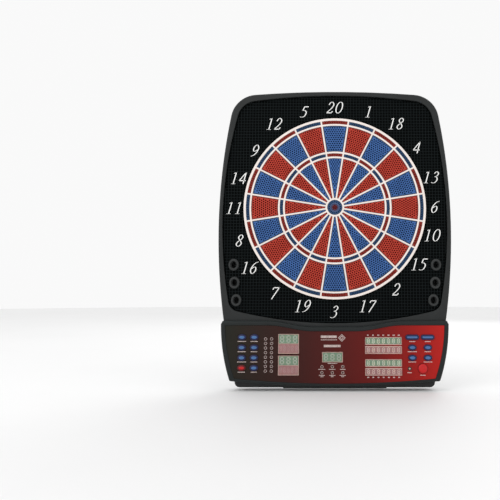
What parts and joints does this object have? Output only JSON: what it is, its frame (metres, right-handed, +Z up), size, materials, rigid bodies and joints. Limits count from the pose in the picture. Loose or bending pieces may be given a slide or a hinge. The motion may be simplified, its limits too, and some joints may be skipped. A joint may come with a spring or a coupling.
{
  "type": "electronic dartboard",
  "caption": "Electronic dartboard with a round target of sprung keys under a white web, a barrel-sided case and a control console with displays and buttons.",
  "frame": {"origin": "on the flat back face, straight behind the centre of the bull", "axes": "+Z up, +Y back into the wall, so the target faces -Y, and +X to the right as the player sees it"},
  "size_m": [0.435, 0.0488, 0.555],
  "materials": {
    "case_plastic": "satin",
    "case_back_plastic": "matte",
    "number_panel_plastic": "matte",
    "numeral_white": "matte",
    "web_plastic": "satin",
    "key_blue": "matte",
    "key_red": "matte",
    "mat_rubber": "matte",
    "sensor_film": "satin",
    "fibreboard": "matte",
    "console_plastic": "satin",
    "overlay_print": "satin",
    "overlay_marks": "matte",
    "display_face": "gloss",
    "lamp_lens": "gloss",
    "keypad_silicone": "matte",
    "circuit_board": "satin",
    "ribbon": "satin",
    "speaker_metal": "satin",
    "socket_plastic": "satin",
    "socket_rubber": "matte",
    "screw_steel": "satin",
    "button_blue": "satin",
    "button_red": "satin"
  },
  "bodies": {
    "board": {"rear_cover": "case_back_plastic", "front_frame": "case_plastic", "number_panel": "number_panel_plastic", "web": "web_plastic", "return_mat": "mat_rubber", "sensor_sheet": "sensor_film", "backing_plate": "fibreboard", "console_housing": "console_plastic", "console_overlay": "overlay_print", "player_display_upper": "display_face", "player_display_lower": "display_face", "centre_display": "display_face", "cricket_display_upper": "display_face", "cricket_display_lower": "display_face", "indicator_lamps": "lamp_lens", "keypad_mats": "keypad_silicone", "main_board": "circuit_board", "ribbon_cable": "ribbon", "speaker": "speaker_metal", "power_socket": "socket_plastic", "dart_sockets": "socket_rubber", "case_screws": "screw_steel", "plate_screws": "screw_steel"},
    "keys_20": {"keys_20": "key_blue"},
    "keys_1": {"keys_1": "key_red"},
    "keys_18": {"keys_18": "key_blue"},
    "keys_4": {"keys_4": "key_red"},
    "keys_13": {"keys_13": "key_blue"},
    "keys_6": {"keys_6": "key_red"},
    "keys_10": {"keys_10": "key_blue"},
    "keys_15": {"keys_15": "key_red"},
    "keys_2": {"keys_2": "key_blue"},
    "keys_17": {"keys_17": "key_red"},
    "keys_3": {"keys_3": "key_blue"},
    "keys_19": {"keys_19": "key_red"},
    "keys_7": {"keys_7": "key_blue"},
    "keys_16": {"keys_16": "key_red"},
    "keys_8": {"keys_8": "key_blue"},
    "keys_11": {"keys_11": "key_red"},
    "keys_14": {"keys_14": "key_blue"},
    "keys_9": {"keys_9": "key_red"},
    "keys_12": {"keys_12": "key_blue"},
    "keys_5": {"keys_5": "key_red"},
    "bull_outer": {"bull_outer": "key_blue"},
    "bull_inner": {"bull_inner": "key_red"},
    "button_game": {"button_game": "button_blue"},
    "button_option": {"button_option": "button_blue"},
    "button_handicap": {"button_handicap": "button_blue"},
    "button_double_out": {"button_double_out": "button_blue"},
    "button_missed": {"button_missed": "button_blue"},
    "button_bounce": {"button_bounce": "button_blue"},
    "button_power": {"button_power": "button_red"},
    "button_sound": {"button_sound": "button_blue"},
    "button_select_left": {"button_select_left": "button_blue"},
    "button_select_right": {"button_select_right": "button_blue"},
    "button_cricket": {"button_cricket": "button_blue"},
    "button_score_show": {"button_score_show": "button_blue"},
    "button_reset": {"button_reset": "button_blue"},
    "button_solo": {"button_solo": "button_blue"},
    "button_player_change": {"button_player_change": "button_red"}
  },
  "joints": [
    {"name": "keys_20_press", "type": "slide", "parent": "board", "child": "keys_20", "axis": [0, 1, 0], "range_m": [0, 0.001], "stiffness_N_per_m": 2000},
    {"name": "keys_1_press", "type": "slide", "parent": "board", "child": "keys_1", "axis": [0, 1, 0], "range_m": [0, 0.001], "stiffness_N_per_m": 2000},
    {"name": "keys_18_press", "type": "slide", "parent": "board", "child": "keys_18", "axis": [0, 1, 0], "range_m": [0, 0.001], "stiffness_N_per_m": 2000},
    {"name": "keys_4_press", "type": "slide", "parent": "board", "child": "keys_4", "axis": [0, 1, 0], "range_m": [0, 0.001], "stiffness_N_per_m": 2000},
    {"name": "keys_13_press", "type": "slide", "parent": "board", "child": "keys_13", "axis": [0, 1, 0], "range_m": [0, 0.001], "stiffness_N_per_m": 2000},
    {"name": "keys_6_press", "type": "slide", "parent": "board", "child": "keys_6", "axis": [0, 1, 0], "range_m": [0, 0.001], "stiffness_N_per_m": 2000},
    {"name": "keys_10_press", "type": "slide", "parent": "board", "child": "keys_10", "axis": [0, 1, 0], "range_m": [0, 0.001], "stiffness_N_per_m": 2000},
    {"name": "keys_15_press", "type": "slide", "parent": "board", "child": "keys_15", "axis": [0, 1, 0], "range_m": [0, 0.001], "stiffness_N_per_m": 2000},
    {"name": "keys_2_press", "type": "slide", "parent": "board", "child": "keys_2", "axis": [0, 1, 0], "range_m": [0, 0.001], "stiffness_N_per_m": 2000},
    {"name": "keys_17_press", "type": "slide", "parent": "board", "child": "keys_17", "axis": [0, 1, 0], "range_m": [0, 0.001], "stiffness_N_per_m": 2000},
    {"name": "keys_3_press", "type": "slide", "parent": "board", "child": "keys_3", "axis": [0, 1, 0], "range_m": [0, 0.001], "stiffness_N_per_m": 2000},
    {"name": "keys_19_press", "type": "slide", "parent": "board", "child": "keys_19", "axis": [0, 1, 0], "range_m": [0, 0.001], "stiffness_N_per_m": 2000},
    {"name": "keys_7_press", "type": "slide", "parent": "board", "child": "keys_7", "axis": [0, 1, 0], "range_m": [0, 0.001], "stiffness_N_per_m": 2000},
    {"name": "keys_16_press", "type": "slide", "parent": "board", "child": "keys_16", "axis": [0, 1, 0], "range_m": [0, 0.001], "stiffness_N_per_m": 2000},
    {"name": "keys_8_press", "type": "slide", "parent": "board", "child": "keys_8", "axis": [0, 1, 0], "range_m": [0, 0.001], "stiffness_N_per_m": 2000},
    {"name": "keys_11_press", "type": "slide", "parent": "board", "child": "keys_11", "axis": [0, 1, 0], "range_m": [0, 0.001], "stiffness_N_per_m": 2000},
    {"name": "keys_14_press", "type": "slide", "parent": "board", "child": "keys_14", "axis": [0, 1, 0], "range_m": [0, 0.001], "stiffness_N_per_m": 2000},
    {"name": "keys_9_press", "type": "slide", "parent": "board", "child": "keys_9", "axis": [0, 1, 0], "range_m": [0, 0.001], "stiffness_N_per_m": 2000},
    {"name": "keys_12_press", "type": "slide", "parent": "board", "child": "keys_12", "axis": [0, 1, 0], "range_m": [0, 0.001], "stiffness_N_per_m": 2000},
    {"name": "keys_5_press", "type": "slide", "parent": "board", "child": "keys_5", "axis": [0, 1, 0], "range_m": [0, 0.001], "stiffness_N_per_m": 2000},
    {"name": "bull_outer_press", "type": "slide", "parent": "board", "child": "bull_outer", "axis": [0, 1, 0], "range_m": [0, 0.001], "stiffness_N_per_m": 1500},
    {"name": "bull_inner_press", "type": "slide", "parent": "board", "child": "bull_inner", "axis": [0, 1, 0], "range_m": [0, 0.001], "stiffness_N_per_m": 1500},
    {"name": "button_game_press", "type": "slide", "parent": "board", "child": "button_game", "axis": [0, 1, 0], "range_m": [0, 0.0015], "stiffness_N_per_m": 500},
    {"name": "button_option_press", "type": "slide", "parent": "board", "child": "button_option", "axis": [0, 1, 0], "range_m": [0, 0.0015], "stiffness_N_per_m": 500},
    {"name": "button_handicap_press", "type": "slide", "parent": "board", "child": "button_handicap", "axis": [0, 1, 0], "range_m": [0, 0.0015], "stiffness_N_per_m": 500},
    {"name": "button_double_out_press", "type": "slide", "parent": "board", "child": "button_double_out", "axis": [0, 1, 0], "range_m": [0, 0.0015], "stiffness_N_per_m": 500},
    {"name": "button_missed_press", "type": "slide", "parent": "board", "child": "button_missed", "axis": [0, 1, 0], "range_m": [0, 0.0015], "stiffness_N_per_m": 500},
    {"name": "button_bounce_press", "type": "slide", "parent": "board", "child": "button_bounce", "axis": [0, 1, 0], "range_m": [0, 0.0015], "stiffness_N_per_m": 500},
    {"name": "button_power_press", "type": "slide", "parent": "board", "child": "button_power", "axis": [0, 1, 0], "range_m": [0, 0.0015], "stiffness_N_per_m": 500},
    {"name": "button_sound_press", "type": "slide", "parent": "board", "child": "button_sound", "axis": [0, 1, 0], "range_m": [0, 0.0015], "stiffness_N_per_m": 500},
    {"name": "button_select_left_press", "type": "slide", "parent": "board", "child": "button_select_left", "axis": [0, 1, 0], "range_m": [0, 0.0015], "stiffness_N_per_m": 500},
    {"name": "button_select_right_press", "type": "slide", "parent": "board", "child": "button_select_right", "axis": [0, 1, 0], "range_m": [0, 0.0015], "stiffness_N_per_m": 500},
    {"name": "button_cricket_press", "type": "slide", "parent": "board", "child": "button_cricket", "axis": [0, 1, 0], "range_m": [0, 0.0015], "stiffness_N_per_m": 500},
    {"name": "button_score_show_press", "type": "slide", "parent": "board", "child": "button_score_show", "axis": [0, 1, 0], "range_m": [0, 0.0015], "stiffness_N_per_m": 500},
    {"name": "button_reset_press", "type": "slide", "parent": "board", "child": "button_reset", "axis": [0, 1, 0], "range_m": [0, 0.0015], "stiffness_N_per_m": 500},
    {"name": "button_solo_press", "type": "slide", "parent": "board", "child": "button_solo", "axis": [0, 1, 0], "range_m": [0, 0.0015], "stiffness_N_per_m": 500},
    {"name": "button_player_change_press", "type": "slide", "parent": "board", "child": "button_player_change", "axis": [0, 1, 0], "range_m": [0, 0.0015], "stiffness_N_per_m": 600}
  ]
}
